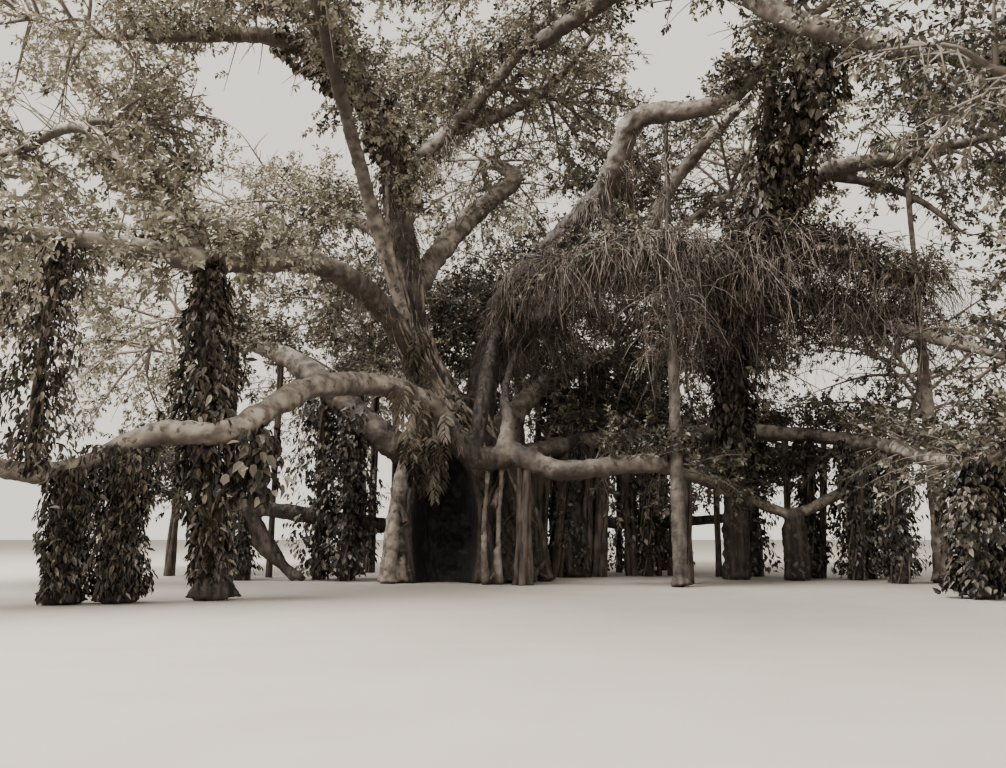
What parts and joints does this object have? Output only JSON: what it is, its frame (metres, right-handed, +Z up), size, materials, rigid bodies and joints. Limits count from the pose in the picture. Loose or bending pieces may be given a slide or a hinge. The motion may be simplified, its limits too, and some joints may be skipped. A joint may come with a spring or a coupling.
{
  "type": "banyan tree",
  "caption": "Old spreading banyan tree with a fluted trunk, long level boughs on prop roots, hanging air roots, leafy climbers and a wide open crown.",
  "frame": {"origin": "on the flat cut under the trunk, at ground level", "axes": "+Z up; +X to the right and -Y towards the viewer, as the tree is seen in its picture"},
  "size_m": [36.059, 36.5059, 22.8238],
  "materials": {
    "trunk_bark": "rough fluted bark, dark and blotched",
    "bough_bark": "smooth pale grey bark with dark blotches",
    "prop_bark": "rough stringy bark",
    "air_roots": "dry fibrous hanging roots",
    "climber_leaves": "broad dark leaves, slightly glossy",
    "tree_leaves": "small leathery leaves in sprays"
  },
  "bodies": {
    "root": {"trunk": "trunk_bark", "bough_top_left": "bough_bark", "bough_upper_left": "bough_bark", "bough_low_left": "bough_bark", "bough_mid_left": "bough_bark", "bough_under_left": "bough_bark", "bough_right_arch": "bough_bark", "bough_right_slant": "bough_bark", "bough_low_right": "bough_bark", "bough_low_right_far": "bough_bark", "bough_back_left": "bough_bark", "bough_back": "bough_bark", "bough_back_right": "bough_bark", "bough_crown": "bough_bark", "bough_front": "bough_bark", "bough_crown_back": "bough_bark", "bough_crown_left": "bough_bark", "bough_crown_left_front": "bough_bark", "bough_riser_left": "bough_bark", "stem_right": "bough_bark", "bough_right_level": "bough_bark", "bough_right_droop": "bough_bark", "bough_overhead_right": "bough_bark", "bough_right_loop": "bough_bark", "prop_1": "prop_bark", "prop_2": "prop_bark", "prop_3": "prop_bark", "prop_4": "prop_bark", "prop_5": "prop_bark", "prop_6": "prop_bark", "prop_7": "prop_bark", "prop_8": "prop_bark", "prop_9": "prop_bark", "prop_10": "prop_bark", "prop_11": "prop_bark", "hanging_roots_middle": "air_roots", "hanging_roots_right": "air_roots", "climber_prop_1": "climber_leaves", "climber_prop_2": "climber_leaves", "climber_prop_3": "climber_leaves", "climber_prop_8": "climber_leaves", "climber_stem_right": "climber_leaves", "leaves_left_front": "tree_leaves", "leaves_left": "tree_leaves", "leaves_left_high": "tree_leaves", "leaves_left_back": "tree_leaves", "leaves_back_left": "tree_leaves", "leaves_back": "tree_leaves", "leaves_back_right": "tree_leaves", "leaves_right": "tree_leaves", "leaves_right_front": "tree_leaves", "leaves_right_high": "tree_leaves", "leaves_front_right": "tree_leaves", "leaves_front": "tree_leaves", "leaves_crown_left_front": "tree_leaves", "leaves_crown_left": "tree_leaves", "leaves_crown_back": "tree_leaves", "leaves_crown_right": "tree_leaves", "leaves_crown_top": "tree_leaves", "leaves_crown_front": "tree_leaves"}
  },
  "joints": []
}
